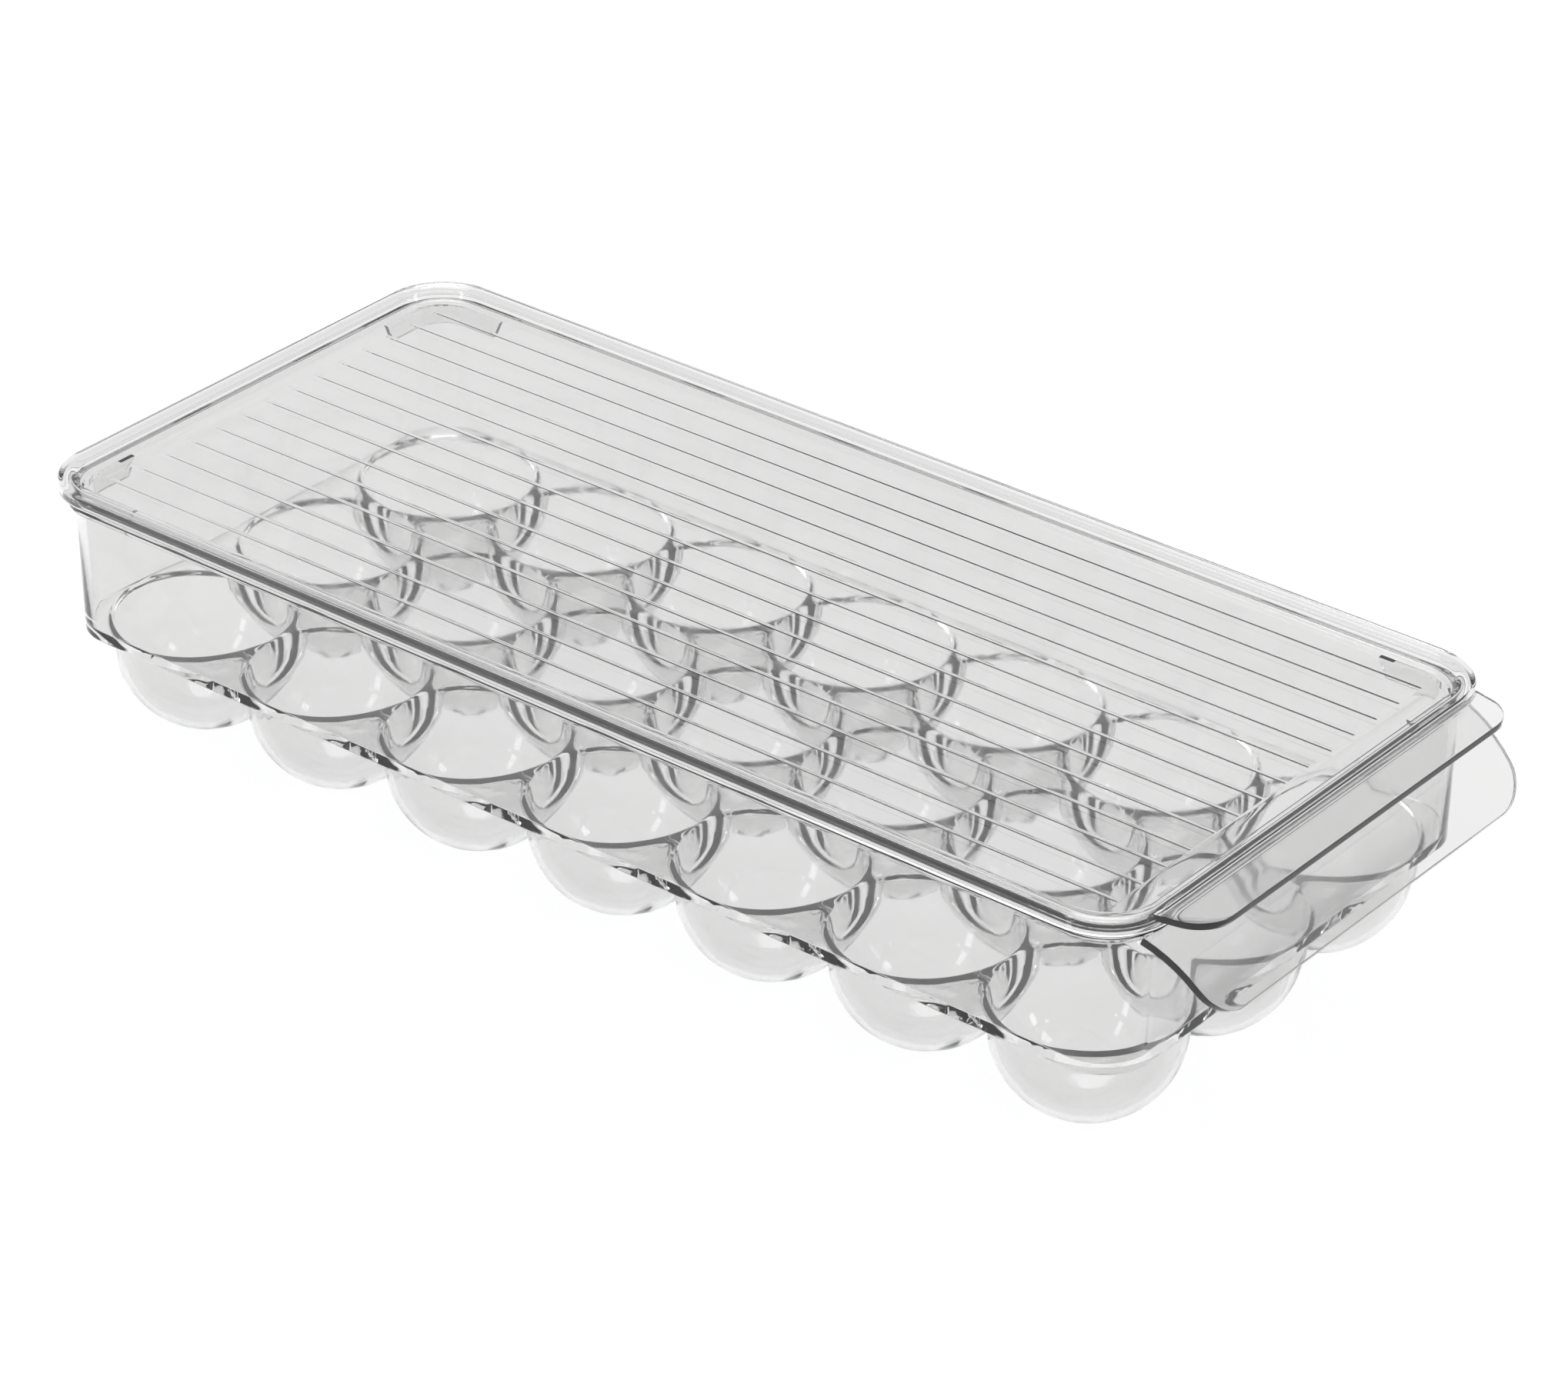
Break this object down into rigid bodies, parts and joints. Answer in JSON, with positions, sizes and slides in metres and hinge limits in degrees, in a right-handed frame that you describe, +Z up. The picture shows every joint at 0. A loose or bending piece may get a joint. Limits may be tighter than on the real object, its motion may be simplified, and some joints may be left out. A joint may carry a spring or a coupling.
{
  "type": "egg keeper with lid",
  "caption": "Clear long egg keeper: a tray of round-bottomed cups with a scoop pull handle, under a ribbed flat lid that tips up about its rear edge.",
  "frame": {"origin": "centre of the bounding box's footprint, on the table", "axes": "+X to the right across the cups, +Y along the keeper to its rear end (pull handle at -Y), +Z up"},
  "size_m": [0.1598, 0.3712, 0.0758],
  "materials": {
    "tray_clear": "clear, glossy",
    "lid_clear": "clear, glossy"
  },
  "bodies": {
    "tray": {"wall_rim": "tray_clear", "pull_handle": "tray_clear", "cup_a1": "tray_clear", "cup_a2": "tray_clear", "cup_a3": "tray_clear", "cup_b1": "tray_clear", "cup_b2": "tray_clear", "cup_b3": "tray_clear", "cup_c1": "tray_clear", "cup_c2": "tray_clear", "cup_c3": "tray_clear", "cup_d1": "tray_clear", "cup_d2": "tray_clear", "cup_d3": "tray_clear", "cup_e1": "tray_clear", "cup_e2": "tray_clear", "cup_e3": "tray_clear", "cup_f1": "tray_clear", "cup_f2": "tray_clear", "cup_f3": "tray_clear", "cup_g1": "tray_clear", "cup_g2": "tray_clear", "cup_g3": "tray_clear"},
    "lid": {"lid": "lid_clear", "corner_rib_front_left": "lid_clear", "corner_rib_front_right": "lid_clear", "corner_rib_rear_left": "lid_clear", "corner_rib_rear_right": "lid_clear"}
  },
  "joints": [
    {"name": "lid_flip", "type": "hinge", "parent": "tray", "child": "lid", "pos_m": [0, 0.18555, 0.0714], "axis": [-1, 0, 0], "range_deg": [0, 100]}
  ]
}
